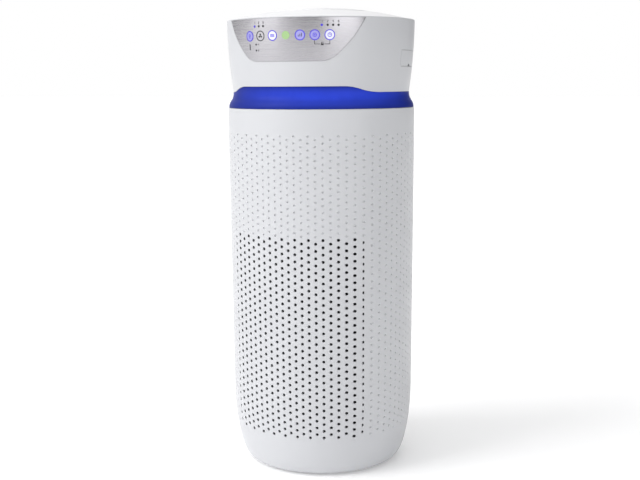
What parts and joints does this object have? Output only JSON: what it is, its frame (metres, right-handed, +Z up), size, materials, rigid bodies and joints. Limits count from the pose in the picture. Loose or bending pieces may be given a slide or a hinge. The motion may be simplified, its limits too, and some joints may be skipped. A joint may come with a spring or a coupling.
{
  "type": "air purifier",
  "caption": "Round tower air purifier with a perforated front, a lift-off filter door, a cylindrical filter, a light ring, a touch panel and a domed outlet.",
  "frame": {"origin": "on the floor under the middle of the casing", "axes": "+Z up, the front with the touch panel faces -Y, the aroma tray faces +X"},
  "size_m": [0.2722, 0.2722, 0.6655],
  "materials": {
    "shell_white": "satin-gloss moulded ABS",
    "ring_blue": "translucent light guide, lit blue",
    "panel_silver": "brushed",
    "inner_grey": "moulded, dark grey",
    "fan_grey": "moulded, light grey",
    "foot_rubber": "matte",
    "fastener_steel": "zinc plated",
    "motor_steel": "pressed sheet",
    "gland_black": "moulded nylon",
    "filter_frame": "moulded",
    "filter_paper": "pleated fibre",
    "carbon": "granules in a net",
    "screen_net": "open net",
    "strap": "woven tape",
    "lamp_glass": "quartz",
    "lamp_ceramic": "ceramic-filled",
    "reflector": "polished sheet",
    "ballast_case": "potted",
    "needle_steel": "polished",
    "board_green": "solder mask",
    "components": "potted",
    "guide_clear": "clear light guide",
    "pad_felt": "felt"
  },
  "bodies": {
    "housing": {"casing_barrel": "shell_white", "front_grille": "shell_white", "head_shell": "shell_white", "outlet_grille": "shell_white", "carry_handle": "shell_white", "light_ring": "ring_blue", "control_panel": "panel_silver", "base_plate": "inner_grey", "filter_seat": "inner_grey", "filter_rails": "inner_grey", "filter_deck": "inner_grey", "lamp_chamber_wall": "inner_grey", "fan_inlet_ring": "inner_grey", "fan_housing": "inner_grey", "outlet_duct": "inner_grey", "motor_mount": "inner_grey", "board_bracket": "inner_grey", "power_bracket": "inner_grey", "tray_sleeve": "inner_grey", "rubber_feet": "foot_rubber", "base_screws": "fastener_steel", "mount_screws": "fastener_steel", "motor_bearings": "fastener_steel", "magnet_keepers": "fastener_steel", "motor_case": "motor_steel", "motor_stator": "motor_steel", "cord_gland": "gland_black", "gland_nut": "gland_black", "uv_lamp_tube": "lamp_glass", "uv_lamp_caps": "lamp_ceramic", "uv_lamp_holders": "lamp_ceramic", "uv_reflector": "reflector", "uv_ballast": "ballast_case", "ioniser_module": "ballast_case", "ioniser_needles": "needle_steel", "control_board": "board_green", "power_board": "board_green", "ring_led_strip": "board_green", "power_components": "components", "touch_light_guides": "guide_clear"},
    "fan": {"fan_wheel": "fan_grey", "motor_shaft": "fastener_steel", "wheel_nut": "fastener_steel", "motor_rotor": "motor_steel"},
    "tray": {"aroma_tray": "shell_white", "aroma_pad": "pad_felt"},
    "door": {"filter_door": "shell_white", "door_grille": "shell_white", "door_pull": "shell_white", "door_magnets": "fastener_steel"},
    "cartridge": {"filter_top_cap": "filter_frame", "filter_bottom_cap": "filter_frame", "filter_gasket": "foot_rubber", "carbon_sleeve": "carbon", "prefilter_screen": "screen_net", "hepa_pleats": "filter_paper", "filter_pull_tab": "strap"}
  },
  "joints": [
    {"name": "fan_spin", "type": "hinge", "parent": "housing", "child": "fan", "pos_m": [0, 0, 0.45], "axis": [0, 0, 1], "continuous": true},
    {"name": "aroma_tray_slide", "type": "slide", "parent": "housing", "child": "tray", "axis": [1, 0, 0], "range_m": [0, 0.035]},
    {"name": "filter_slide", "type": "slide", "parent": "housing", "child": "cartridge", "axis": [0, 1, 0], "range_m": [0, 0.234]},
    {"name": "filter_door_slide", "type": "slide", "parent": "housing", "child": "door", "axis": [0, 1, 0], "range_m": [0, 0.4212]}
  ],
  "couplings": [
    {"joint": "filter_door_slide", "follows": "filter_slide", "ratio": 1.8}
  ]
}
